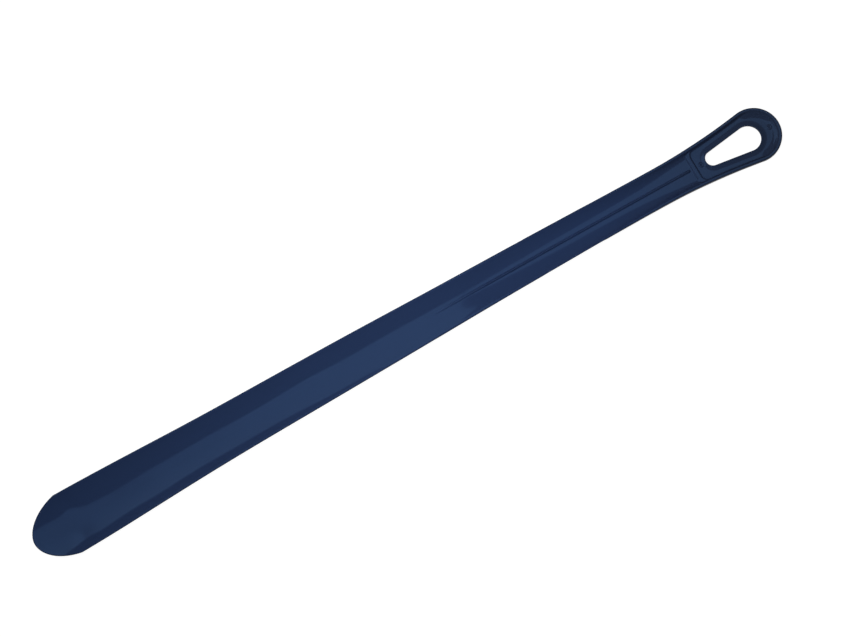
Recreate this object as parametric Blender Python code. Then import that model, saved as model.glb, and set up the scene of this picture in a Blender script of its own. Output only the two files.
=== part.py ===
"""A long-handled shoehorn, 600 mm from tip to loop, moulded in one piece of polypropylene.

It lies trough up along X, tip at -X and loop at +X, standing on z = 0, with the origin at the middle
of its footprint. The moulding is drawn as the three lengths into which its section divides it:

blade   an open trough with a rounded tip
shaft   the trough with a rib along its floor, turning into a channel with rims at the neck
handle  a loop with a flat back, an outer rim, a lip round its teardrop hole, and a cross rib

Along the moulding, distances are measured from the tip; across it, from the centre line; and
heights within a section, from the floor of the trough on the centre line.
"""
import math

import bmesh
import bpy
import numpy as np
from mathutils import Matrix

MM = 0.001

LENGTH = 600 * MM
BLADE_END = 318 * MM            # where the rib starts to rise
SHAFT_END = 530 * MM            # where the cross rib crosses the neck
GAP = 0.3 * MM                  # left between neighbouring lengths

# Laws along the moulding: (distance from the tip, value) in millimetres, joined by smooth curves.
HALF_WIDTH = ((0, 22.9), (30, 22.8), (70, 21.8), (140, 19.3), (210, 18.1), (280, 17.0), (350, 15.6),
              (420, 14.5), (490, 13.55), (504, 13.5), (518, 13.7), (532, 14.4), (546, 15.5), (560, 17.0),
              (578, 19.5))
TROUGH_DEPTH = ((0, 3.2), (28, 4.7), (45, 5.2), (70, 5.45), (98, 5.4), (155, 4.75), (225, 3.9), (275, 3.25),
                (300, 2.75), (330, 2.8), (370, 3.45), (420, 3.7), (500, 3.6), (530, 3.1))
FLOOR_HALF_WIDTH = ((0, 3.0), (20, 4.5), (45, 2.5), (70, 1.0), (112, 1.7), (160, 1.6), (225, 1.6), (300, 0.3),
                    (370, 1.8), (420, 3.1), (470, 4.0), (504, 5.9), (530, 8.2))
RIM_WIDTH = ((0, 0.3), (250, 0.3), (330, 1.2), (365, 1.6), (400, 1.0), (430, 0.7), (470, 1.2), (530, 2.2))
WALL = ((0, 1.3), (30, 1.8), (100, 2.2), (530, 2.2))
UNDERSIDE_RISE = ((0, 3.0), (30, 4.9), (70, 5.5), (112, 5.5), (170, 4.8), (225, 4.1), (300, 2.9), (420, 2.6),
                  (500, 0.9), (530, 0.1))
TROUGH_POWER = 1.85             # the sides climb with this power of how far out a point is

# The tip is part of a superellipse, which meets the tapering sides at a soft shoulder.
NOSE_LENGTH = 45.2 * MM
NOSE_HALF_WIDTH = 24.8 * MM
NOSE_POWER = 1.94

# The centre line is bowed: its middle stands clear of the table and both ends bend to the back,
# but the tip itself curls up a little.
BOW_RADIUS = 3820 * MM
BOW_CENTRE = 321.2 * MM
BOW_TOP = 11.735 * MM
CURL_HEIGHT = 3.6 * MM
CURL_RUN = 70 * MM

RIB_HALF_WIDTH = 1.1 * MM
RIB_TOP_HALF_WIDTH = 0.5 * MM
RIB_HEIGHT = 1 * MM
RIB_RUN_IN = 40 * MM            # length over which the rib rises from the floor

CROSS_RIB_LENGTH = 4.2 * MM
CROSS_RIB_HEIGHT = 0.9 * MM

LOOP_RADIUS = 19.65 * MM
LOOP_CENTRE = LENGTH - LOOP_RADIUS
LOOP_SIDE_END = 578 * MM        # where the straight sides run into the round end
LOOP_DEPTH = 2.8 * MM           # from the rim down to the floor of the recess
LOOP_RIM = 2.5 * MM

HOLE_NECK_CENTRE = 547.1 * MM   # the small end of the teardrop
HOLE_NECK_RADIUS = 5.3 * MM
HOLE_END_CENTRE = 575.5 * MM    # the large end
HOLE_END_RADIUS = 9.2 * MM
HOLE_LIP = 1.6 * MM
HOLE_LIP_HEIGHT = 1.2 * MM

BLADE_ROWS = 40
BLADE_COLUMNS = 20
SHAFT_ROWS = 30
ARC_STEPS = 28

BODY_COLOUR = (0.012, 0.03, 0.085, 1.0)
BODY_ROUGHNESS = 0.22


def law(pairs, distance):
    """Value of a law at a distance from the tip, on a smooth curve through its pairs."""
    stations, values = np.array(pairs, dtype=float).T * MM
    slopes = np.gradient(values, stations)
    left = np.clip(np.searchsorted(stations, distance) - 1, 0, len(stations) - 2)
    span = stations[left + 1] - stations[left]
    t = np.clip((distance - stations[left]) / span, 0.0, 1.0)
    start = values[left] * (2 * t**3 - 3 * t**2 + 1) + slopes[left] * span * (t**3 - 2 * t**2 + t)
    end = values[left + 1] * (3 * t**2 - 2 * t**3) + slopes[left + 1] * span * (t**3 - t**2)
    return start + end


def bow(distance):
    """Height of the trough's floor above the table: the curled tip, an arc, then its tangent."""
    along = np.minimum(distance, SHAFT_END)
    arc = BOW_TOP - (along - BOW_CENTRE) ** 2 / (2 * BOW_RADIUS)
    curl = CURL_HEIGHT * np.clip(1 - distance / CURL_RUN, 0.0, 1.0) ** 2
    slope = (SHAFT_END - BOW_CENTRE) / BOW_RADIUS
    return arc + curl - slope * np.maximum(distance - SHAFT_END, 0.0)


def trough(distance, across):
    """Height of the trough's inside: a flat floor, sides that steepen outwards, and a flat rim."""
    floor = law(FLOOR_HALF_WIDTH, distance)
    rim = law(HALF_WIDTH, distance) - law(RIM_WIDTH, distance)
    climb = np.clip((np.abs(across) - floor) / (rim - floor), 0.0, 1.0)
    return law(TROUGH_DEPTH, distance) * climb**TROUGH_POWER


def rib(distance, across):
    """Height that the centre rib adds to the floor, rising from nothing over its run-in."""
    rise = np.clip((distance - BLADE_END) / RIB_RUN_IN, 0.0, 1.0)
    flank = (RIB_HALF_WIDTH - np.abs(across)) / (RIB_HALF_WIDTH - RIB_TOP_HALF_WIDTH)
    return RIB_HEIGHT * rise * np.clip(flank, 0.0, 1.0)


def underside(distance, across):
    """Height of the back: the wall under the floor, rising towards the edges."""
    out = np.abs(across) / law(HALF_WIDTH, distance)
    return law(UNDERSIDE_RISE, distance) * out**2 - law(WALL, distance)


def blade_point(row, column):
    """Distance and offset of a blade point; the rows start on the rounded tip and end in line."""
    shoulder = math.asin(law(HALF_WIDTH, 0.0) / NOSE_HALF_WIDTH)
    angle = (2 * column - 1) * shoulder
    start = NOSE_LENGTH * (1 - math.sqrt(1 - abs(math.sin(angle)) ** NOSE_POWER))
    distance = start + (BLADE_END - GAP / 2 - start) * row**1.2
    return distance, law(HALF_WIDTH, distance) * math.sin(angle) / math.sin(shoulder)


def shaft_columns():
    """The shaft's columns as functions of distance: rib, floor, side and rim, from the middle out."""
    side_steps = (0.35, 0.6, 0.8)
    floor = lambda s: law(FLOOR_HALF_WIDTH, s)
    edge = lambda s: law(HALF_WIDTH, s)
    rim = lambda s: edge(s) - law(RIM_WIDTH, s)
    half = [lambda s: RIB_TOP_HALF_WIDTH, lambda s: RIB_HALF_WIDTH, lambda s: np.maximum(floor(s), 1.3 * MM)]
    half += [lambda s, part=part: floor(s) + part * (rim(s) - floor(s)) for part in side_steps]
    half += [rim, edge]
    left = [lambda s, place=place: -place(s) for place in reversed(half)]
    return left + half


def shaft_point(row, column, columns=shaft_columns()):
    """Distance and offset of a shaft point, on the column that belongs to it."""
    start = BLADE_END + GAP / 2
    distance = start + (SHAFT_END - GAP / 2 - start) * row
    return distance, columns[round(column * (len(columns) - 1))](distance)


def body_material(name):
    """Glossy navy plastic."""
    material = bpy.data.materials.new(name)
    material.use_nodes = True
    shader = material.node_tree.nodes["Principled BSDF"]
    shader.inputs["Base Color"].default_value = BODY_COLOUR
    shader.inputs["Roughness"].default_value = BODY_ROUGHNESS
    shader.inputs["Metallic"].default_value = 0.0
    return material


def add_object(name, mesh, collection):
    """Put a mesh into the scene as an object, its distances turned into places along X."""
    mesh.transform(Matrix.Translation((-LENGTH / 2, 0, 0)))
    shape = bpy.data.objects.new(name, mesh)
    collection.objects.link(shape)
    return shape


def sheet_shell(name, rows, columns, place, top):
    """A closed shell: a grid laid on the trough's inside, then extruded down to the underside."""
    sheet = bmesh.new()
    bmesh.ops.create_grid(sheet, x_segments=rows, y_segments=columns, size=1.0)
    for vertex in sheet.verts:
        distance, across = place((vertex.co.x + 1) / 2, (vertex.co.y + 1) / 2)
        vertex.co = (distance, across, bow(distance) + top(distance, across))
    extruded = bmesh.ops.extrude_face_region(sheet, geom=sheet.faces[:])
    for vertex in extruded["geom"]:
        if isinstance(vertex, bmesh.types.BMVert):
            distance, across, _ = vertex.co
            vertex.co.z = bow(distance) + underside(distance, across)
    bmesh.ops.recalc_face_normals(sheet, faces=sheet.faces[:])
    mesh = bpy.data.meshes.new(name)
    sheet.to_mesh(mesh)
    sheet.free()
    return mesh


def arc(centre, radius, start, end, steps):
    """Points on an arc about a point of the centre line, from one angle to another."""
    angles = np.linspace(start, end, steps + 1)
    return [(centre + radius * math.cos(a), radius * math.sin(a)) for a in angles]


def loop_outline(start, inset):
    """The loop's plan: sides that flare from the neck, and a round end, moved in by an inset."""
    side = [(s, law(HALF_WIDTH, s) - inset) for s in np.linspace(start, LOOP_SIDE_END, 9)]
    turn = math.acos((LOOP_SIDE_END - LOOP_CENTRE) / LOOP_RADIUS)
    end = arc(LOOP_CENTRE, LOOP_RADIUS - inset, turn, -turn, ARC_STEPS)[1:-1]
    return side + end + [(s, -half) for s, half in reversed(side)]


def hole_outline(grow):
    """The teardrop hole: two arcs and their common tangents, grown by an offset."""
    span = HOLE_END_CENTRE - HOLE_NECK_CENTRE
    lean = math.acos((HOLE_NECK_RADIUS - HOLE_END_RADIUS) / span)
    neck = arc(HOLE_NECK_CENTRE, HOLE_NECK_RADIUS + grow, lean, 2 * math.pi - lean, ARC_STEPS // 2)
    end = arc(HOLE_END_CENTRE, HOLE_END_RADIUS + grow, -lean, lean, ARC_STEPS)
    return neck + end


def slab(name, outlines, bottom, top, collection):
    """A flat piece from closed outlines, filled between them and extruded from bottom to top."""
    curve = bpy.data.curves.new(name, "CURVE")
    curve.dimensions = "2D"
    curve.fill_mode = "BOTH"
    curve.extrude = (top - bottom) / 2
    for outline in outlines:
        spline = curve.splines.new("POLY")
        spline.points.add(len(outline) - 1)
        for point, (x, y) in zip(spline.points, outline):
            point.co = (x, y, 0, 1)
        spline.use_cyclic_u = True
    drawn = bpy.data.objects.new(name, curve)
    collection.objects.link(drawn)
    mesh = bpy.data.meshes.new_from_object(drawn.evaluated_get(bpy.context.evaluated_depsgraph_get()))
    bpy.data.objects.remove(drawn)
    caps = bmesh.new()
    caps.from_mesh(mesh)
    bmesh.ops.remove_doubles(caps, verts=caps.verts[:], dist=0.01 * MM)
    bmesh.ops.recalc_face_normals(caps, faces=caps.faces[:])
    caps.to_mesh(mesh)
    caps.free()
    mesh.name = name
    mesh.transform(handle_slope() @ Matrix.Translation((0, 0, (top + bottom) / 2)))
    return add_object(name, mesh, collection)


def handle_slope():
    """Lays the handle along the tangent of the bow: height falls in proportion to distance."""
    slope = (SHAFT_END - BOW_CENTRE) / BOW_RADIUS
    lay = Matrix.Identity(4)
    lay[2][0] = -slope
    lay[2][3] = bow(SHAFT_END) + slope * SHAFT_END
    return lay


def cut(shape, cutter):
    """Take a cutter out of a shape, and show the cutter as a guide only."""
    modifier = shape.modifiers.new(cutter.name, "BOOLEAN")
    modifier.operation = "DIFFERENCE"
    modifier.solver = "EXACT"
    modifier.object = cutter
    cutter.hide_render = True
    cutter.display_type = "WIRE"


def build_blade(collection):
    """The plain trough with its rounded tip."""
    mesh = sheet_shell("blade", BLADE_ROWS, BLADE_COLUMNS, blade_point, trough)
    return add_object("blade", mesh, collection)


def build_shaft(collection):
    """The ribbed trough, deepening at the neck into a channel with rims."""
    ribbed = lambda distance, across: trough(distance, across) + rib(distance, across)
    mesh = sheet_shell("shaft", SHAFT_ROWS, len(shaft_columns()) - 1, shaft_point, ribbed)
    return add_object("shaft", mesh, collection)


def build_handle(collection, cutters):
    """The loop: a thick plate with its hole, hollowed between the rim and the hole's lip."""
    start = SHAFT_END + GAP / 2
    recess_start = SHAFT_END + CROSS_RIB_LENGTH
    back = -law(WALL, SHAFT_END)
    clear = LOOP_DEPTH + 2 * MM
    handle = slab("handle", [loop_outline(start, 0.0), hole_outline(0.0)], back, LOOP_DEPTH, collection)
    recess_plan = [loop_outline(recess_start, LOOP_RIM), hole_outline(HOLE_LIP)]
    cut(handle, slab("recess_cutter", recess_plan, 0.0, clear, cutters))
    half = law(HALF_WIDTH, SHAFT_END) - LOOP_RIM
    before, after = start - 2 * MM, recess_start + 1 * MM
    bar_plan = [(before, -half), (after, -half), (after, half), (before, half)]
    cut(handle, slab("cross_rib_cutter", [bar_plan], CROSS_RIB_HEIGHT, clear, cutters))
    lip_plan = hole_outline(HOLE_LIP + 0.2 * MM)
    cut(handle, slab("lip_cutter", [lip_plan], HOLE_LIP_HEIGHT, clear, cutters))
    return handle


def main():
    """Build the three lengths and give each its plastic."""
    for old in list(bpy.data.objects):
        bpy.data.objects.remove(old, do_unlink=True)
    shoehorn = bpy.data.collections.new("long_handled_shoehorn")
    cutters = bpy.data.collections.new("cutters")
    for collection in (shoehorn, cutters):
        bpy.context.scene.collection.children.link(collection)
    for shape in (build_blade(shoehorn), build_shaft(shoehorn), build_handle(shoehorn, cutters)):
        shape.data.materials.clear()
        shape.data.materials.append(body_material(shape.name + "_plastic"))


main()
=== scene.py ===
"""Looks of a long-handled shoehorn: one glossy navy moulding, built as a closed surface with numpy.

Along the moulding, distances run from the tip; across it, offsets run from the centre line; and
heights within a section are above the floor of the trough. All are in metres.
"""

import logging
import math
from dataclasses import dataclass
from enum import Enum

import bmesh
import bpy
import numpy as np
from mathutils import Matrix, Vector


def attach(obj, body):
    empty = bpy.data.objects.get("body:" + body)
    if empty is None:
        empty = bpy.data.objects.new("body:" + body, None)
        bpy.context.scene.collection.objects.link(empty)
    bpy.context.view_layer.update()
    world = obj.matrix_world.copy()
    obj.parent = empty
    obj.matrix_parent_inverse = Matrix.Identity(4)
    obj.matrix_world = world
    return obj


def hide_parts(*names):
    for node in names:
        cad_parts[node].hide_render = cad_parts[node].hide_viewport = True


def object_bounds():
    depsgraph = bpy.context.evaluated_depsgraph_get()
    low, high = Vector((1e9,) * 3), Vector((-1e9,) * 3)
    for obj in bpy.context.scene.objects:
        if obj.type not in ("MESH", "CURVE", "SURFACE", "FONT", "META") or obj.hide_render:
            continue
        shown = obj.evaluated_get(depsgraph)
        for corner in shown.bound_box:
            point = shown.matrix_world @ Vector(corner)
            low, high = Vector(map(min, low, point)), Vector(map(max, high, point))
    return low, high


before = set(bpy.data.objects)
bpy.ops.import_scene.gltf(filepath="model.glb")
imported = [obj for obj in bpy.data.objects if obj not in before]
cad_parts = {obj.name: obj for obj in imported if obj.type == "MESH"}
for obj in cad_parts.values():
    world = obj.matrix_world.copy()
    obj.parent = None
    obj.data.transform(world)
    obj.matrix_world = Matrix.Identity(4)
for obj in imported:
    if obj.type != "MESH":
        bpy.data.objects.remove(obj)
CAD_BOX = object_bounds()

MM = 0.001
Colour = tuple[float, float, float, float]
WHITE: Colour = (1.0, 1.0, 1.0, 1.0)
log = logging.getLogger("shoehorn")


# ---------------------------------------------------------------- shader expressions

class Socket:
    """A shader socket in an expression: + and * on it add Math nodes to its tree."""

    def __init__(self, book: "NodeBook", link: bpy.types.NodeSocket) -> None:
        """Keep the socket and the node book that can add nodes beside it."""
        self.book, self.link = book, link

    def _math(self, operation: str, other: object) -> "Socket":
        """Add one Math node that works on this value and another."""
        return self.book.node("ShaderNodeMath", {"operation": operation}, {0: self, 1: other})

    def __add__(self, other: object) -> "Socket":
        """Sum of this value and another."""
        return self._math("ADD", other)

    __radd__ = __add__

    def __mul__(self, other: object) -> "Socket":
        """Product of this value and another."""
        return self._math("MULTIPLY", other)

    __rmul__ = __mul__

    def band(self, low: float, high: float, at_low: float = 0.0, at_high: float = 1.0) -> "Socket":
        """Smooth step of this value.

        Args:
            low: Where the step starts.
            high: Where the step ends.
            at_low: What it gives up to its start.
            at_high: What it gives past its end.

        Returns:
            The step's value.
        """
        values = {"Value": self, "From Min": low, "From Max": high,
                  "To Min": at_low, "To Max": at_high}
        settings = {"interpolation_type": "SMOOTHSTEP"}
        return self.book.node("ShaderNodeMapRange", settings, values, "Result")


class NodeBook:
    """Adds nodes to the tree of one material, light or world, and links them."""

    def __init__(self, owner: bpy.types.Material | bpy.types.Light | bpy.types.World) -> None:
        """Start from the shader that the owner's tree has by itself."""
        owner.use_nodes = True
        self.tree = owner.node_tree

    def node(self, kind: str, settings: dict | None = None, values: dict | None = None,
             output: str | int = 0) -> Socket:
        """Add a node.

        Args:
            kind: The node's type.
            settings: Its properties, set before its sockets.
            values: What goes in each socket: a Socket is linked, anything else is set.
            output: Which output to return.

        Returns:
            The chosen output as a Socket.
        """
        made = self.tree.nodes.new(kind)
        for name, value in (settings or {}).items():
            setattr(made, name, value)
        for name, value in (values or {}).items():
            self.feed(self.pick(made.inputs, name), value)
        return Socket(self, self.pick(made.outputs, output))

    @staticmethod
    def pick(sockets: bpy.types.bpy_prop_collection, name: str | int) -> bpy.types.NodeSocket:
        """A socket of a node, by its number, or by its identifier, or else by its name."""
        return {socket.identifier: socket for socket in sockets}.get(name) or sockets[name]

    def feed(self, entry: bpy.types.NodeSocket, value: object) -> None:
        """Link a Socket to an input, or set the input to a plain value.

        Args:
            entry: The input.
            value: A Socket or a plain value.
        """
        if isinstance(value, Socket):
            self.tree.links.new(value.link, entry)
        else:
            entry.default_value = value

    def dress(self, kind: str, **values: object) -> None:
        """Feed the shader that the tree has by itself.

        Args:
            kind: The shader's type, such as BSDF_PRINCIPLED.
            values: A Socket or a plain value for each input, named with _ for spaces.
        """
        shader = next(node for node in self.tree.nodes if node.type == kind)
        for name, value in values.items():
            self.feed(shader.inputs[name.replace("_", " ")], value)

    def mix(self, factor: object, first: object, second: object) -> Socket:
        """Blend two colours, each a Socket or a Colour, by a factor."""
        values = {"Factor_Float": factor, "A_Color": first, "B_Color": second}
        return self.node("ShaderNodeMix", {"data_type": "RGBA"}, values, "Result_Color")


# ---------------------------------------------------------------- finishes

@dataclass(frozen=True)
class Pattern:
    """A noise pattern over the moulding.

    Attributes:
        scale: Features to a metre.
        detail: Octaves.
        stretch: Factor on each axis of the position before the noise reads it.
    """

    scale: float
    detail: float
    stretch: tuple[float, float, float] | None = None

    def over(self, place: Socket) -> Socket:
        """Lay the pattern.

        Args:
            place: Position in metres.

        Returns:
            Noise between 0 and 1.
        """
        book = place.book
        if self.stretch is not None:
            place = book.node("ShaderNodeMapping", {}, {"Vector": place, "Scale": self.stretch})
        values = {"Vector": place, "Scale": self.scale, "Detail": self.detail}
        return book.node("ShaderNodeTexNoise", {}, values, "Fac")


@dataclass(frozen=True)
class NavyPlastic:
    """Glossy navy polypropylene, turning a little greyer and warmer towards the handle end, where
    warmer light is painted into its colour.

    Attributes:
        colour: The plastic.
        pale: What it is faintly mottled with.
        painted_warm_light: Painted light: the colour towards the handle end, greyer and warmer for
            the light that falls there.
        painted_warm_light_span: Distances past the middle between which the painted warmer light
            sets in.
        tint: Colour of the gloss where it is seen straight on.
        handled_band: Share of the handling pattern that dulls the gloss.
        rub_band: Share of the rubbing pattern that shows as hairlines.
    """

    colour: Colour = (0.0160, 0.0300, 0.083, 1.0)
    pale: Colour = (0.0180, 0.0332, 0.091, 1.0)
    # Painted light: the greyer, warmer colour that the handle end fades to stands in for the warmer
    # light falling there.
    painted_warm_light: Colour = (0.0190, 0.0280, 0.059, 1.0)
    painted_warm_light_span: tuple[float, float] = (0.15, 0.30)
    tint: Colour = (0.24, 0.51, 1.0, 1.0)
    specular: float = 0.35
    roughness: float = 0.055
    handled_roughness: float = 0.02
    rub_roughness: float = 0.03
    sink_depth: float = 1.0 * MM
    grain_depth: float = 0.0012 * MM
    rub_depth: float = 0.002 * MM
    mottling: Pattern = Pattern(30.0, 3.0, (0.35, 1.0, 1.0))
    handling: Pattern = Pattern(45.0, 3.0)
    handled_band: tuple[float, float] = (0.35, 0.75)
    rubbing: Pattern = Pattern(900.0, 2.0, (0.03, 1.0, 1.0))
    rub_band: tuple[float, float] = (0.56, 0.75)
    sinking: Pattern = Pattern(18.0, 1.0, (1.0, 1.4, 1.0))
    graining: Pattern = Pattern(2500.0, 1.0)

    def material(self, name: str) -> bpy.types.Material:
        """Build the material: mottled colour with painted warmer light towards the handle end,
        gloss dulled by hands and rubs, sinks and grain.

        Args:
            name: The material's name.

        Returns:
            The material.
        """
        made = bpy.data.materials.new(name)
        book = NodeBook(made)
        place = book.node("ShaderNodeTexCoord", output="Object")
        along = book.node("ShaderNodeSeparateXYZ", {}, {"Vector": place}, "X")
        mottled = book.mix(self.mottling.over(place), self.colour, self.pale)
        # Painted light: past the middle the colour fades to a greyer, warmer tone for the light on
        # the handle end.
        colour = book.mix(along.band(*self.painted_warm_light_span), mottled, self.painted_warm_light)
        rubs = self.rubbing.over(place).band(*self.rub_band)
        handled = self.handling.over(place).band(*self.handled_band)
        roughness = self.roughness + self.handled_roughness * handled + self.rub_roughness * rubs
        sinks, grain = self.sinking.over(place), self.graining.over(place)
        relief = self.sink_depth * sinks + self.grain_depth * grain + self.rub_depth * rubs
        values = {"Strength": 1.0, "Distance": 1.0, "Height": relief}
        bump = book.node("ShaderNodeBump", {}, values, "Normal")
        book.dress("BSDF_PRINCIPLED", Base_Color=colour, Roughness=roughness, Normal=bump,
                   Specular_IOR_Level=self.specular, Specular_Tint=self.tint)
        return made


@dataclass(frozen=True)
class PaleFloor:
    """A plain, pale light table: a diffuser lit evenly from below."""

    colour: Colour = (0.25, 0.25, 0.25, 1.0)
    roughness: float = 0.9
    glow: float = 0.93

    def material(self, name: str) -> bpy.types.Material:
        """Build the material.

        Args:
            name: The material's name.

        Returns:
            The material.
        """
        made = bpy.data.materials.new(name)
        NodeBook(made).dress("BSDF_PRINCIPLED", Base_Color=self.colour, Roughness=self.roughness,
                             Emission_Color=WHITE, Emission_Strength=self.glow)
        return made


# ---------------------------------------------------------------- sizes along the moulding

@dataclass(frozen=True)
class Law:
    """A size that varies along the moulding.

    Its stations are (distance, value) in millimetres. Between them runs a natural cubic spline: on
    each span a cubic, whose slope and curvature are continuous from span to span.
    """

    stations: tuple[tuple[float, float], ...]

    def __call__(self, distance: np.ndarray | float) -> np.ndarray:
        """Read the size off the spline; it stays level beyond the end stations.

        The curvatures at the stations solve the equations that make the slopes of neighbouring
        spans agree. On a span, the value is the cubic that has those curvatures at its ends.

        Args:
            distance: Distances from the tip.

        Returns:
            The size in metres at each distance.
        """
        where, value = np.array(self.stations, dtype=float).T * MM
        spans = np.diff(where)
        count = len(where)
        system, pull = np.eye(count), np.zeros(count)
        inner = np.arange(1, count - 1)
        system[inner, inner - 1] = spans[:-1]
        system[inner, inner] = 2 * (spans[:-1] + spans[1:])
        system[inner, inner + 1] = spans[1:]
        slopes = np.diff(value) / spans
        pull[1:-1] = 6 * np.diff(slopes)
        curvature = np.linalg.solve(system, pull)
        at = np.clip(distance, where[0], where[-1])
        left = np.clip(np.searchsorted(where, at) - 1, 0, count - 2)
        span, before, after = spans[left], at - where[left], where[left + 1] - at
        bend = (curvature[left] * after**3 + curvature[left + 1] * before**3) / (6 * span)
        start = (value[left] / span - curvature[left] * span / 6) * after
        end = (value[left + 1] / span - curvature[left + 1] * span / 6) * before
        return bend + start + end


def smooth_step(low: float, high: float, value: np.ndarray) -> np.ndarray:
    """0 below low and 1 above high, joined by the cubic 3t^2 - 2t^3."""
    t = np.clip((value - low) / (high - low), 0.0, 1.0)
    return t * t * (3 - 2 * t)


@dataclass(frozen=True)
class Bow:
    """The centre line's lie: a shallow arc that curls up a little at the tip and ends straight.

    Attributes:
        radius: Radius of the arc.
        centre: Where the arc is highest.
        top: How high it is there.
        straight_from: Where the arc gives way to the straight handle.
        curl: How far the tip is raised above the arc.
        curl_run: How far from the tip the curl reaches.
    """

    radius: float = 3820 * MM
    centre: float = 321.2 * MM
    top: float = 11.735 * MM
    straight_from: float = 530 * MM
    curl: float = 3.6 * MM
    curl_run: float = 70 * MM

    def height(self, distance: np.ndarray) -> np.ndarray:
        """Height of the trough's floor above the table.

        Up to the handle it is the top less the square of the distance from the bow's centre over
        twice the radius; from there it falls at the slope that the arc has reached. At the tip it
        is raised by the square of how far a point is into the curl.

        Args:
            distance: Distances from the tip.

        Returns:
            The height at each distance.
        """
        along = np.minimum(distance, self.straight_from)
        arc = self.top - (along - self.centre) ** 2 / (2 * self.radius)
        slope = (self.straight_from - self.centre) / self.radius
        curl = self.curl * np.clip(1 - distance / self.curl_run, 0.0, 1.0) ** 2
        return arc + curl - slope * np.maximum(distance - self.straight_from, 0.0)


@dataclass(frozen=True)
class Channel:
    """The blade and the shaft: an open trough that turns into a channel with rims at the neck.

    Attributes:
        half_width: From the centre line to the edge.
        depth: From the trough's floor up to the edge.
        floor: From the centre line to where the sides start to rise.
        rim: Width of the level rim at the edge.
        wall: Thickness under the floor.
        rise: How far the back rises from the centre line to the edge.
        power: Power that the sides rise with, in thousandths as the laws give it.
        rib_crest: Share of the rib's half width that is level.
    """

    half_width: Law = Law((
        (0, 22.9), (30, 22.8), (70, 21.8), (140, 19.3), (210, 18.1), (280, 17.0), (350, 15.6),
        (420, 14.5), (490, 13.55), (504, 13.5), (518, 13.7), (532, 14.4), (546, 15.5), (560, 17.0),
        (578, 19.5)))
    depth: Law = Law((
        (0, 3.2), (28, 4.7), (45, 5.2), (70, 5.45), (98, 5.4), (126, 5.1), (155, 4.75), (197, 4.35),
        (225, 3.9), (253, 3.6), (275, 3.25), (300, 2.75), (330, 2.8), (370, 3.45), (420, 3.7),
        (500, 3.6), (530, 3.2), (560, 2.5), (600, 2.5)))
    floor: Law = Law((
        (0, 3.0), (15, 4.5), (23, 4.2), (28, 5.2), (32.5, 7.4), (37, 5.6), (43, 2.7), (52, 1.6),
        (70, 1.0), (90, 1.5), (112, 1.7), (133, 2.3), (160, 1.6), (190, 1.3), (225, 1.6),
        (253, 0.9), (275, 0.9), (300, 0.2), (330, 0.5), (370, 1.8), (420, 3.1), (470, 4.0),
        (504, 5.9), (520, 7.6), (530, 8.2)))
    rim: Law = Law((
        (0, 0.3), (250, 0.3), (330, 1.2), (365, 1.6), (400, 1.0), (430, 0.7), (470, 1.2),
        (530, 1.7)))
    wall: Law = Law(((0, 1.3), (30, 1.8), (100, 2.2), (530, 2.2), (600, 2.2)))
    rise: Law = Law((
        (0, 3.0), (30, 4.9), (70, 5.5), (112, 5.5), (170, 4.8), (225, 4.1), (300, 2.9), (420, 2.6),
        (500, 0.9), (530, 0.1), (600, 0.0)))
    power: Law = Law((
        (0, 1.9), (150, 1.9), (245, 1.9), (300, 1.66), (350, 1.66), (420, 1.8), (530, 1.9)))
    rib_start: float = 308 * MM
    rib_run_in: float = 80 * MM
    rib_end: float = 529.2 * MM
    rib_run_out: float = 1.2 * MM
    rib_half_width: float = 1.1 * MM
    rib_crest: float = 0.1
    rib_height: float = 1.0 * MM

    def trough(self, distance: np.ndarray, across: np.ndarray) -> np.ndarray:
        """Height of the trough's inside: level floor, sides that steepen to a narrow level rim.

        The sides rise with a power of how far out from the floor a point is.

        Args:
            distance: Distances from the tip.
            across: Offsets from the centre line.

        Returns:
            The height at each place.
        """
        floor = self.floor(distance)
        inner = self.half_width(distance) - self.rim(distance)
        climb = np.clip((np.abs(across) - floor) / (inner - floor), 0.0, 1.0)
        return self.depth(distance) * climb**(self.power(distance) / MM)

    def rib(self, distance: np.ndarray, across: np.ndarray) -> np.ndarray:
        """Height of the centre rib: a rounded ridge that fades in, and ends at the cross rib.

        Its flanks and both its ends are smooth steps.

        Args:
            distance: Distances from the tip.
            across: Offsets from the centre line.

        Returns:
            The height at each place.
        """
        along = smooth_step(self.rib_start, self.rib_start + self.rib_run_in, distance)
        along = along * (1 - smooth_step(self.rib_end - self.rib_run_out, self.rib_end, distance))
        crest = self.rib_crest * self.rib_half_width
        ridge = 1 - smooth_step(crest, self.rib_half_width, np.abs(across))
        return self.rib_height * along * ridge

    def underside(self, distance: np.ndarray, across: np.ndarray) -> np.ndarray:
        """Height of the back: a wall below the floor, rising with the square of the offset."""
        out = across / self.half_width(distance)
        return self.rise(distance) * out**2 - self.wall(distance)


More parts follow.
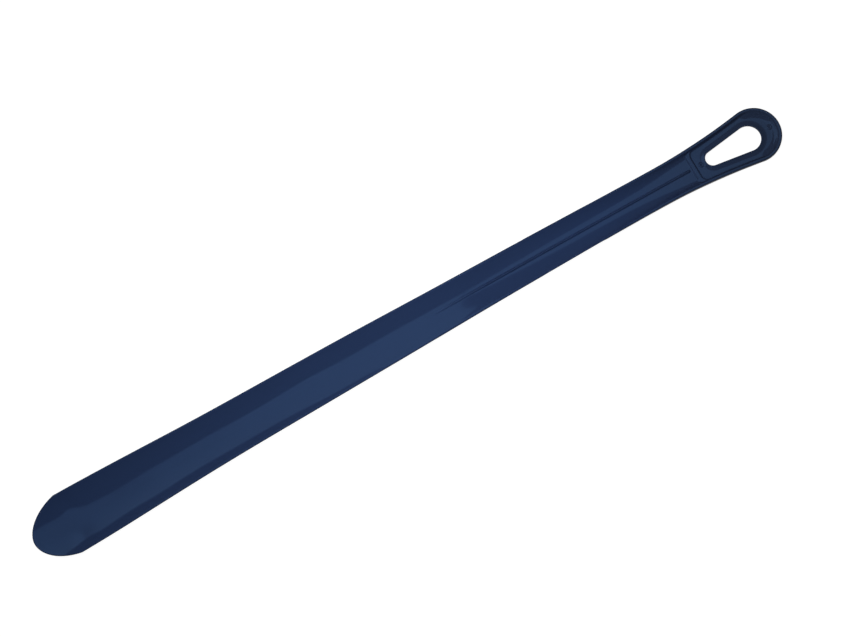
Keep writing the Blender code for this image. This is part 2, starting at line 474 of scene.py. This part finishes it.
@dataclass(frozen=True)
class Loop:
    """The handle: a loop hollowed between its rim and the lip round its teardrop hole.

    Attributes:
        length: Where the moulding ends.
        radius: Radius of the loop's round end.
        side_end: Where the flared sides meet the round end.
        flare: Slope of the flared sides.
        neck_centre, neck_radius: Circle at the hole's narrow end.
        end_centre, end_radius: Circle at its wide end.
        rim, rim_run: Width of the rim's level top, and of its fall to the floor.
        dish_height, dish_run: How far the round end's floor curls up to the rim, and over how much.
        dish_blend: How far before and past side_end the dish sets in.
        lip_height, lip_run: How far the floor curls up to the hole, and over how much.
        bar_start, bar_rise: Where the cross rib starts, and the length of its rise.
        bar_end, bar_drop: Where it ends, and the length of its drop.
        bar_corner: Offsets between which its end splays.
        bar_spread: How far its end has splayed at the second of them.
        mark_places: Centres of the ejector marks.
        mark_flat: Share of a mark's radius that is level.
        dimple: Shares of a mark's radius between which its dimple climbs out.
        dimple_depth: The dimple's depth over the mark's height.
    """

    length: float = 600 * MM
    radius: float = 19.65 * MM
    side_end: float = 578 * MM
    flare: float = 0.12
    neck_centre: float = 547.1 * MM
    neck_radius: float = 5.3 * MM
    end_centre: float = 575.5 * MM
    end_radius: float = 9.2 * MM
    rim: float = 1.7 * MM
    rim_run: float = 1.8 * MM
    dish_height: float = 1.25 * MM
    dish_run: float = 4 * MM
    dish_blend: tuple[float, float] = (6 * MM, 8 * MM)
    lip_run: float = 4.4 * MM
    lip_height: float = 1.4 * MM
    bar_start: float = 529.4 * MM
    bar_rise: float = 2.2 * MM
    bar_end: float = 534.2 * MM
    bar_drop: float = 1.0 * MM
    bar_height: float = 0.9 * MM
    bar_corner: tuple[float, float] = (7.5 * MM, 11.5 * MM)
    bar_spread: float = 2.2 * MM
    mark_places: tuple[float, ...] = (537.6 * MM, 592.8 * MM)
    mark_radius: float = 1.9 * MM
    mark_height: float = 0.45 * MM
    mark_flat: float = 0.7
    dimple: tuple[float, float] = (0.15, 0.5)
    dimple_depth: float = 1.3

    @property
    def centre(self) -> float:
        """Centre of the round end."""
        return self.length - self.radius

    @property
    def hole_run(self) -> float:
        """Distance between the centres of the teardrop's two circles."""
        return self.end_centre - self.neck_centre

    @property
    def hole_tilt(self) -> float:
        """Sine of the angle of the teardrop's straight sides, below 0 as they close at the neck."""
        return (self.neck_radius - self.end_radius) / self.hole_run

    @property
    def lean(self) -> float:
        """Angle of the points where the hole's straight sides touch its circles."""
        return math.acos(self.hole_tilt)

    def from_edge(self, distance: np.ndarray, across: np.ndarray, side: np.ndarray) -> np.ndarray:
        """How far inside the outline a point is: from the flared sides, then from the round end.

        Args:
            distance: Distances from the tip.
            across: Offsets from the centre line.
            side: Half width at each distance.

        Returns:
            The distance to the outline at each place.
        """
        flared = (side - np.abs(across)) * math.cos(math.atan(self.flare))
        round_end = self.radius - np.hypot(distance - self.centre, across)
        return np.where(distance < self.side_end, flared, round_end)

    def from_hole(self, distance: np.ndarray, across: np.ndarray) -> np.ndarray:
        """How far outside the teardrop a point is.

        The teardrop is the hull of two circles, so the nearest point lies on one of the circles
        or on their common tangent, according to where the point falls along the tangent.

        Args:
            distance: Distances from the tip.
            across: Offsets from the centre line.

        Returns:
            The distance to the hole at each place.
        """
        span, tilt = self.hole_run, self.hole_tilt
        run = math.sqrt(1 - tilt**2)
        x, y = distance - self.neck_centre, np.abs(across)
        along = x * run - y * tilt
        to_neck = np.hypot(x, y) - self.neck_radius
        to_end = np.hypot(x - span, y) - self.end_radius
        to_side = x * tilt + y * run - self.neck_radius
        return np.where(along < 0, to_neck, np.where(along > run * span, to_end, to_side))

    def recess(self, distance: np.ndarray, across: np.ndarray, channel: Channel) -> np.ndarray:
        """Height of the handle's inside: a steep rim, and a floor that curls up to the hole.

        The rim falls with a smooth step of the distance inside the outline. The floor rises with
        the square of how far a point is into the lip's run; in the round end it is dished towards
        the rim too. Where both reach, their shares a and b of the rim's height join as a + b - ab.

        Args:
            distance: Distances from the tip.
            across: Offsets from the centre line.
            channel: The channel that the handle goes on from.

        Returns:
            The height at each place.
        """
        depth = channel.depth(distance)
        inset = self.from_edge(distance, across, channel.half_width(distance))
        foot = self.rim + self.rim_run
        rim = 1 - smooth_step(self.rim, foot, inset)
        curl = np.clip(1 - self.from_hole(distance, across) / self.lip_run, 0.0, 1.0)
        dish = np.clip(1 - (inset - foot) / self.dish_run, 0.0, 1.0)
        before, past = self.dish_blend
        dish = dish * smooth_step(self.side_end - before, self.side_end + past, distance)
        floor = (self.lip_height * curl**2 + self.dish_height * dish**2) / depth
        return depth * (rim + floor - rim * floor)

    def bar(self, distance: np.ndarray, across: np.ndarray) -> np.ndarray:
        """Share of the cross rib: a gentle rise, a level top, and a steep drop.

        The drop splays at the rib's ends, with the square of how far out a point is past the
        first of the two corners.

        Args:
            distance: Distances from the tip.
            across: Offsets from the centre line.

        Returns:
            The share at each place, between 0 and 1.
        """
        near, far = self.bar_corner
        splay = self.bar_spread * np.clip((np.abs(across) - near) / (far - near), 0.0, 1.0) ** 2
        up = smooth_step(self.bar_start, self.bar_start + self.bar_rise, distance)
        return up * (1 - smooth_step(self.bar_end - self.bar_drop, self.bar_end, distance - splay))

    def marks(self, distance: np.ndarray, across: np.ndarray) -> np.ndarray:
        """Height of the round ejector marks: low discs, each with a dimple in its middle.

        Both the disc's edge and the dimple's are smooth steps of the distance from its centre.

        Args:
            distance: Distances from the tip.
            across: Offsets from the centre line.

        Returns:
            The height at each place.
        """
        total = np.zeros_like(distance)
        low, high = self.dimple
        for place in self.mark_places:
            out = np.hypot(distance - place, across)
            disc = 1 - smooth_step(self.mark_flat * self.mark_radius, self.mark_radius, out)
            dimple = 1 - smooth_step(low * self.mark_radius, high * self.mark_radius, out)
            total = total + self.mark_height * (disc - self.dimple_depth * dimple)
        return total


# ---------------------------------------------------------------- the moulding

class Side(Enum):
    """The two faces of the moulding; the value is the sign of its normal's height."""

    TOP = 1
    BACK = -1


@dataclass(frozen=True)
class Fineness:
    """How finely the moulding is drawn.

    Attributes:
        rib_share: Share of the half width, at the centre line, that is drawn evenly for the rib.
        rib_columns, flank_columns: Columns on that share and on the rest.
        tip_run, tip_rows: How far from the tip the rows are crowded, and how many there are.
        tip_crowding: Power that crowds them.
        trough_rows: First place, end and step of the trough's even rows, in millimetres.
        neck_start, neck_rows: Where the neck's rows start, in millimetres, and how many there are.
        side_points, end_points: Points along each of the loop's sides, and round its end.
        ring_rows: Rows from the hole to the outline.
        roll_steps: Steps in each half of the rolled edge.
        slope_step: How far apart two heights are taken to read a slope.
        merge_within: How near two points are to be one.
    """

    rib_share: float = 0.13
    rib_columns: int = 11
    flank_columns: int = 29
    tip_run: float = 12 * MM
    tip_rows: int = 25
    tip_crowding: float = 1.5
    trough_rows: tuple[float, float, float] = (14.0, 525.0, 2.0)
    neck_start: float = 526.0
    neck_rows: int = 44
    side_points: int = 61
    end_points: int = 121
    ring_rows: int = 38
    roll_steps: int = 7
    slope_step: float = 0.05 * MM
    merge_within: float = 1e-7


@dataclass(frozen=True)
class Moulding:
    """The whole shoehorn as one closed surface: top, back, and rolled edges between them.

    Attributes:
        nose_length: Length of the rounded tip.
        nose_half_width: Half width of the curve that rounds the tip.
        nose_power: Power of that curve, near 2 as an ellipse has.
        nose_fade: How far from the tip the rows still bend with it.
        join: Where the handle's ring takes over from the strip.
        edge_inset: How far the rolled edge reaches out, along the moulding.
        hole_inset: How far it reaches into the hole.
        roll_limit: Largest radius of an edge as a share of the wall.
    """

    channel: Channel = Channel()
    loop: Loop = Loop()
    bow: Bow = Bow()
    finish: NavyPlastic = NavyPlastic()
    fineness: Fineness = Fineness()
    nose_length: float = 45.2 * MM
    nose_half_width: float = 24.8 * MM
    nose_power: float = 1.94
    nose_fade: float = 80 * MM
    join: float = 536 * MM
    edge_inset: Law = Law(((0, 0.65), (40, 0.95), (300, 1.0), (530, 0.9), (600, 0.9)))
    hole_inset: float = 0.7 * MM
    roll_limit: float = 0.49

    def height(self, side: Side, distance: np.ndarray, across: np.ndarray) -> np.ndarray:
        """Height above the table of one face of the moulding.

        From the start of the cross rib to its end, the trough blends into the handle's recess.

        Args:
            side: Which face.
            distance: Distances from the tip.
            across: Offsets from the centre line.

        Returns:
            The height at each place.
        """
        base = self.bow.height(distance)
        if side is Side.BACK:
            return base + self.channel.underside(distance, across)
        loop = self.loop
        channel = self.channel.trough(distance, across) + self.channel.rib(distance, across)
        share = smooth_step(loop.bar_start, loop.bar_end, distance)
        inside = channel * (1 - share) + loop.recess(distance, across, self.channel) * share
        inside = inside + loop.bar(distance, across) * np.maximum(loop.bar_height - inside, 0.0)
        return base + inside + loop.marks(distance, across)

    # ------------------------------------------------------------ plan of the two grids

    def strip(self) -> tuple[np.ndarray, np.ndarray]:
        """Plan of the grid from the tip to the handle.

        Returns:
            Distances and offsets. Columns are sines of even angles, so that they end evenly
            round the elliptical tip; rows start on the tip and straighten as they leave it.
        """
        fine, tip_inset = self.fineness, self.edge_inset(0.0)
        half = self.nose_half_width - tip_inset
        shoulder = math.asin((self.channel.half_width(0.0) - tip_inset) / half)
        widest = math.sin(shoulder)
        middle = np.linspace(0, fine.rib_share, fine.rib_columns)
        turn = np.linspace(math.asin(fine.rib_share * widest), shoulder, fine.flank_columns)
        right = np.concatenate([middle, (np.sin(turn) / widest)[1:]])
        share = np.concatenate([-right[:0:-1], right])
        rows = np.concatenate([
            fine.tip_run * np.linspace(0, 1, fine.tip_rows) ** fine.tip_crowding,
            np.arange(*fine.trough_rows) * MM,
            np.linspace(fine.neck_start, self.join / MM, fine.neck_rows) * MM,
        ])
        cosine = np.sqrt(1 - np.abs(share * widest) ** self.nose_power)
        start = tip_inset + (self.nose_length - tip_inset) * (1 - cosine)
        fade = np.clip(1 - rows / self.nose_fade, 0, 1) ** 2
        distance = rows[:, None] + fade[:, None] * start[None, :]
        half_width = self.channel.half_width(distance) - self.edge_inset(distance)
        return distance, half_width * share[None, :]

    def ring(self, strip_end: np.ndarray) -> np.ndarray:
        """Plan of the grid round the hole, its rows spaced evenly between hole and outline.

        Args:
            strip_end: Offsets of the strip's last row, which the ring's outer edge passes through.

        Returns:
            Distances and offsets, as (2, rows, columns), with rows from the hole's edge to the
            outline, and columns once round from the +Y end of the strip's last row, by the
            loop's end.
        """
        fine = self.fineness
        side = np.linspace(self.join, self.loop.side_end, fine.side_points)
        reach = np.linspace(0, 1, fine.ring_rows)[:, None]
        inner = self.hole_line(side, strip_end)[:, None, :]
        return inner * (1 - reach) + self.loop_line(side, strip_end)[:, None, :] * reach

    def loop_line(self, side: np.ndarray, strip_end: np.ndarray) -> np.ndarray:
        """The ring's outer edge: +Y side, round end, -Y side, and the strip's last row.

        Args:
            side: Distances of the points along each side.
            strip_end: Offsets of the strip's last row.

        Returns:
            Distances and offsets, as (2, points).
        """
        loop = self.loop
        side_half = self.channel.half_width(side) - self.edge_inset(side)
        turn = math.acos((loop.side_end - loop.centre) / loop.radius)
        end = np.linspace(turn, -turn, self.fineness.end_points)
        radius = loop.radius - self.edge_inset(loop.length)
        neck = np.full(len(strip_end), self.join)
        return closed_line([side, loop.centre + radius * np.cos(end), side[::-1], neck],
                           [side_half, radius * np.sin(end), -side_half[::-1], strip_end])

    def hole_line(self, side: np.ndarray, strip_end: np.ndarray) -> np.ndarray:
        """The ring's inner edge, a little outside the teardrop, point for point with the outer.

        The straight sides take the even steps of the loop's sides. The arc at the neck is turned
        through in step with the offsets of the strip's last row.

        Args:
            side: Distances of the points along each of the loop's sides.
            strip_end: Offsets of the strip's last row.

        Returns:
            Distances and offsets, as (2, points).
        """
        loop, lean = self.loop, self.loop.lean
        narrow, wide = loop.neck_radius + self.hole_inset, loop.end_radius + self.hole_inset
        end = np.linspace(lean, -lean, self.fineness.end_points)
        across = (strip_end / strip_end[-1] + 1) / 2
        neck = 2 * math.pi - lean - (2 * math.pi - 2 * lean) * across
        touch_x = (loop.neck_centre + narrow * math.cos(lean),
                   loop.end_centre + wide * math.cos(lean))
        touch_y = (narrow * math.sin(lean), wide * math.sin(lean))
        run = (side - side[0]) / (side[-1] - side[0])
        tangent_x = touch_x[0] + run * (touch_x[1] - touch_x[0])
        tangent_y = touch_y[0] + run * (touch_y[1] - touch_y[0])
        return closed_line([tangent_x, loop.end_centre + wide * np.cos(end), tangent_x[::-1],
                            loop.neck_centre + narrow * np.cos(neck)],
                           [tangent_y, wide * np.sin(end), -tangent_y[::-1], narrow * np.sin(neck)])

    # ------------------------------------------------------------ surfaces

    def roll(self, edge: np.ndarray, inset: np.ndarray | float) -> np.ndarray:
        """The rounded edge that joins top and back along a closed line.

        The section is the hull of two equal circles, one touching the top and one the back. Their
        radius is the inset over 1 plus the sine of the top's slope, so that the edge reaches out
        by the inset, or less where the wall is thin. The arcs turn from the top's normal to the
        hull's side, and from there to the back's normal.

        Args:
            edge: Plan points of the line, as (2, points), with the solid on its left.
            inset: How far the edge reaches out from each point.

        Returns:
            Grid of places, as (rows, points, 3), from the top to the back.
        """
        fine = self.fineness
        along = np.roll(edge, -1, axis=1) - np.roll(edge, 1, axis=1)
        out = np.array([along[1], -along[0]]) / np.hypot(*along)
        inside = edge - out * fine.slope_step
        touches, normals = [], []
        for side in Side:
            here = self.height(side, *edge)
            slope = np.arctan((here - self.height(side, *inside)) / fine.slope_step)
            touches.append(np.array([np.zeros_like(here), here]))
            normals.append(side.value * np.array([-np.sin(slope), np.cos(slope)]))
        wall = touches[0][1] - touches[1][1]
        radius = np.minimum(inset / (1 + np.abs(normals[0][0])), self.roll_limit * wall)
        top, back = (touch - normal * radius for touch, normal in zip(touches, normals))
        lift = top - back
        facing = np.arctan2(-lift[0], lift[1])
        start = np.arctan2(normals[0][1], normals[0][0])
        finish = np.arctan2(normals[1][1], normals[1][0])
        turn = np.linspace(0, 1, fine.roll_steps + 1)[:, None]
        upper = start + (facing - start) * turn
        lower = facing + (finish - facing) * turn
        reach = np.concatenate([top[0] + radius * np.cos(upper), back[0] + radius * np.cos(lower)])
        level = np.concatenate([top[1] + radius * np.sin(upper), back[1] + radius * np.sin(lower)])
        plan = edge[:, None, :] + out[:, None, :] * reach[None]
        return np.stack([plan[0], plan[1], level], axis=-1)

    def outline(self, strip: np.ndarray, ring: np.ndarray) -> np.ndarray:
        """Closed line round both grids in plan, the solid on its left: tip, -Y side, loop, +Y side.

        Args:
            strip: Plan of the strip, as (2, rows, columns).
            ring: Plan of the ring, likewise.

        Returns:
            Distances and offsets, as (2, points).
        """
        loop_points = 2 * (self.fineness.side_points - 1) + self.fineness.end_points
        round_loop = ring[:, -1, :loop_points]
        minus_side, plus_side = strip[:, 1:, 0], strip[:, 1:, -1]
        tip = strip[:, 0, ::-1]
        line = [tip, minus_side[:, :-1], round_loop[:, ::-1], plus_side[:, -2::-1]]
        return np.concatenate(line, axis=1)

    def surface(self) -> tuple[np.ndarray, np.ndarray]:
        """All the grids of the moulding, merged where they share points.

        Returns:
            Places of the vertices, and the four vertices of each face.
        """
        strip = np.array(self.strip())
        ring = self.ring(strip[1, -1])
        closed_ring = np.concatenate([ring, ring[:, :, :1]], axis=2)
        grids = [np.stack([plan[0], plan[1], self.height(side, *plan)], axis=-1)
                 for side in Side for plan in (strip, closed_ring)]
        outline, hole = self.outline(strip, ring), ring[:, 0, :]
        for line, inset in ((outline, self.edge_inset(outline[0])), (hole, self.hole_inset)):
            rolled = self.roll(line, inset)
            grids.append(np.concatenate([rolled, rolled[:, :1]], axis=1))
        return merge_grids(grids, self.fineness.merge_within)

    def build(self) -> bpy.types.Object:
        """Make the moulding, lay it along the CAD box and let it stand for the three CAD lengths.

        Returns:
            The finished piece.
        """
        places, quads = self.surface()
        places = places + np.array([CAD_BOX[0].x, 0.0, 0.0])
        mesh = closed_mesh("shoehorn_moulding", places, quads)
        mesh.materials.append(self.finish.material("navy_polypropylene"))
        piece = bpy.data.objects.new("shoehorn_moulding", mesh)
        bpy.context.scene.collection.objects.link(piece)
        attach(piece, "root")
        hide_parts("blade", "shaft", "handle")
        return piece


def closed_line(along: list[np.ndarray], across: list[np.ndarray]) -> np.ndarray:
    """Distances and offsets of a closed line, from stretches that end where the next begins."""
    return np.array([np.concatenate([part[:-1] for part in parts]) for parts in (along, across)])


def merge_grids(grids: list[np.ndarray], within: float) -> tuple[np.ndarray, np.ndarray]:
    """One set of vertices and quads from several grids, with coinciding points made one.

    Args:
        grids: Places as (rows, columns, 3).
        within: How near two points are to be one.

    Returns:
        Places of the vertices, and the four vertices of each face.
    """
    places, quads, count = [], [], 0
    for grid in grids:
        rows, columns = grid.shape[:2]
        index = count + np.arange(rows * columns).reshape(rows, columns)
        corners = (index[:-1, :-1], index[1:, :-1], index[1:, 1:], index[:-1, 1:])
        quads.append(np.stack(corners, axis=-1).reshape(-1, 4))
        places.append(grid.reshape(-1, 3))
        count += rows * columns
    keys = np.round(np.concatenate(places) / within).astype(np.int64)
    _, first, same = np.unique(keys, axis=0, return_index=True, return_inverse=True)
    return np.concatenate(places)[first], same.reshape(-1)[np.concatenate(quads)]


def closed_mesh(name: str, places: np.ndarray, quads: np.ndarray) -> bpy.types.Mesh:
    """A smooth mesh from places and quads, with its faces turned outward.

    Args:
        name: The mesh's name.
        places: Places of the vertices.
        quads: The four vertices of each face.

    Returns:
        The mesh.
    """
    mesh = bpy.data.meshes.new(name)
    mesh.from_pydata(places.tolist(), [], quads.tolist())
    shell = bmesh.new()
    shell.from_mesh(mesh)
    bmesh.ops.recalc_face_normals(shell, faces=shell.faces[:])
    shell.to_mesh(mesh)
    log.info("%s: %d open edges", name, sum(not edge.is_manifold for edge in shell.edges))
    shell.free()
    mesh.shade_smooth()
    return mesh


# ---------------------------------------------------------------- studio

@dataclass(frozen=True)
class Softbox:
    """A rectangular light above the object, level, shining down.

    Attributes:
        name: The light's name.
        low, high: Its corners before it is turned about its middle.
        height: How high it hangs.
        radiance: Its brightness.
        turn: How far it is turned.
        fade: The place where it is dark and the place where it is at full brightness, if it
            fades. A place is a share of the length, plus the slant times the share of the width.
        slant: How much the width counts in a place.
        mirrored: Whether the gloss shows it.
    """

    name: str
    low: tuple[float, float]
    high: tuple[float, float]
    height: float
    radiance: float
    turn: float = 0.0
    fade: tuple[float, float] | None = None
    slant: float = 0.0
    mirrored: bool = True

    def hang(self) -> bpy.types.Object:
        """Add the light. A flat light's power is pi times its radiance times its area.

        Returns:
            The light's object.
        """
        lamp = bpy.data.lights.new(self.name, "AREA")
        lamp.shape = "RECTANGLE"
        lamp.size, lamp.size_y = self.high[0] - self.low[0], self.high[1] - self.low[1]
        lamp.energy = math.pi * self.radiance * lamp.size * lamp.size_y
        if self.fade is not None:
            self.shade(lamp)
        hung = bpy.data.objects.new(self.name, lamp)
        middle = ((self.low[0] + self.high[0]) / 2, (self.low[1] + self.high[1]) / 2)
        hung.location = (*middle, self.height)
        hung.rotation_euler = (0.0, 0.0, self.turn)
        hung.visible_glossy = self.mirrored
        bpy.context.scene.collection.objects.link(hung)
        return hung

    def shade(self, lamp: bpy.types.Light) -> None:
        """Fade the light with a smooth step of the place on it.

        Args:
            lamp: The light.
        """
        book = NodeBook(lamp)
        spot = book.node("ShaderNodeNewGeometry", output="Parametric")
        length = book.node("ShaderNodeSeparateXYZ", {}, {0: spot}, "X")
        width = book.node("ShaderNodeSeparateXYZ", {}, {0: spot}, "Y")
        book.dress("EMISSION", Strength=(width * self.slant + length).band(*self.fade))


@dataclass(frozen=True)
class Studio:
    """Floor, lights and camera.

    Attributes:
        floor_size: Side of the square floor.
        floor_gap: How far the floor is below the object.
        room, room_at_horizon: The room's brightness overhead and at eye level.
        room_rise: Height of a direction's end, on a unit sphere, where the full brightness starts.
        backdrop: Brightness behind the floor.
        distance: From the camera to what it aims at.
        tilt, roll: How far the camera leans towards -Y, and turns about its own axis.
        aim_height: Height of what it aims at.
        aim_right, aim_up: How far it is moved in its own plane.
    """

    floor_size: float = 12.0
    floor_gap: float = 0.2 * MM
    room: float = 0.27
    room_at_horizon: float = 0.04
    room_rise: float = 0.45
    backdrop: float = 1.0
    softboxes: tuple[Softbox, ...] = (
        Softbox("window", (-1.6, -0.02), (0.075, 1.33), 1.2, 1.06, fade=(0.33, 0.84), slant=0.26),
        Softbox("window_wing", (0.075, -0.01), (0.9, 0.38), 1.2, 0.94, turn=math.radians(6),
                fade=(1.0, 0.6)),
        Softbox("overhead", (-0.12, -0.12), (0.16, 0.12), 0.32, 2.8, mirrored=False),
    )
    lens: float = 85.0
    distance: float = 1.4
    tilt: float = math.radians(10.4)
    roll: float = math.radians(29.54)
    aim_height: float = 10 * MM
    aim_right: float = 14.0 * MM
    aim_up: float = 8.9 * MM

    def lay_floor(self, under: float) -> None:
        """Lay the floor just under the object, out of its reflections.

        Args:
            under: Height of the object's underside.
        """
        half, level = self.floor_size / 2, under - self.floor_gap
        corners = [(-half, -half, level), (half, -half, level),
                   (half, half, level), (-half, half, level)]
        mesh = bpy.data.meshes.new("floor")
        mesh.from_pydata(corners, [], [(0, 1, 2, 3)])
        mesh.materials.append(PaleFloor().material("pale_floor"))
        floor = bpy.data.objects.new("floor", mesh)
        floor.visible_glossy = floor.visible_diffuse = False
        bpy.context.scene.collection.objects.link(floor)

    def light(self) -> None:
        """Hang the softboxes and light the room.

        The room is even but dark at eye level, and behind the floor stands a pale backdrop.
        """
        for softbox in self.softboxes:
            log.info("%s: softbox", softbox.hang().name)
        world = bpy.data.worlds.new("room")
        book = NodeBook(world)
        toward = book.node("ShaderNodeTexCoord", output="Generated")
        lift = book.node("ShaderNodeSeparateXYZ", {}, {0: toward}, "Z")
        steep = book.node("ShaderNodeMath", {"operation": "ABSOLUTE"}, {0: lift})
        room = steep.band(0.0, self.room_rise, self.room_at_horizon, self.room)
        seen = book.node("ShaderNodeLightPath", output="Is Camera Ray")
        values = {"Factor_Float": seen, "A_Float": room, "B_Float": self.backdrop}
        strength = book.node("ShaderNodeMix", {}, values, "Result_Float")
        book.dress("BACKGROUND", Color=WHITE, Strength=strength)
        bpy.context.scene.world = world
        bpy.context.scene.view_settings.view_transform = "Standard"

    def set_camera(self, middle: float) -> None:
        """Stand the camera over the object: tilted towards -Y and rolled so that +X climbs.

        Args:
            middle: Where the object's middle is along X.
        """
        back = Vector((0, -math.sin(self.tilt), math.cos(self.tilt)))
        across, up = Vector((1, 0, 0)), Vector((0, math.cos(self.tilt), math.sin(self.tilt)))
        right = across * math.cos(self.roll) - up * math.sin(self.roll)
        top = across * math.sin(self.roll) + up * math.cos(self.roll)
        camera = bpy.data.cameras.new("camera")
        camera.lens = self.lens
        stand = bpy.data.objects.new("camera", camera)
        turned = Matrix((right, top, back)).transposed().to_4x4()
        target = Vector((middle, 0.0, self.aim_height))
        place = target + back * self.distance + right * self.aim_right + top * self.aim_up
        stand.matrix_world = Matrix.Translation(place) @ turned
        bpy.context.scene.collection.objects.link(stand)
        bpy.context.scene.camera = stand


# ---------------------------------------------------------------- main

def main() -> None:
    """Build the object and its studio."""
    logging.basicConfig(level=logging.INFO, format="%(name)s: %(message)s")
    piece = Moulding().build()
    log.info("%s: %d faces", piece.name, len(piece.data.polygons))
    studio = Studio()
    low, high = CAD_BOX
    studio.lay_floor(low.z)
    studio.light()
    studio.set_camera((low.x + high.x) / 2)


if __name__ == "__main__":
    main()
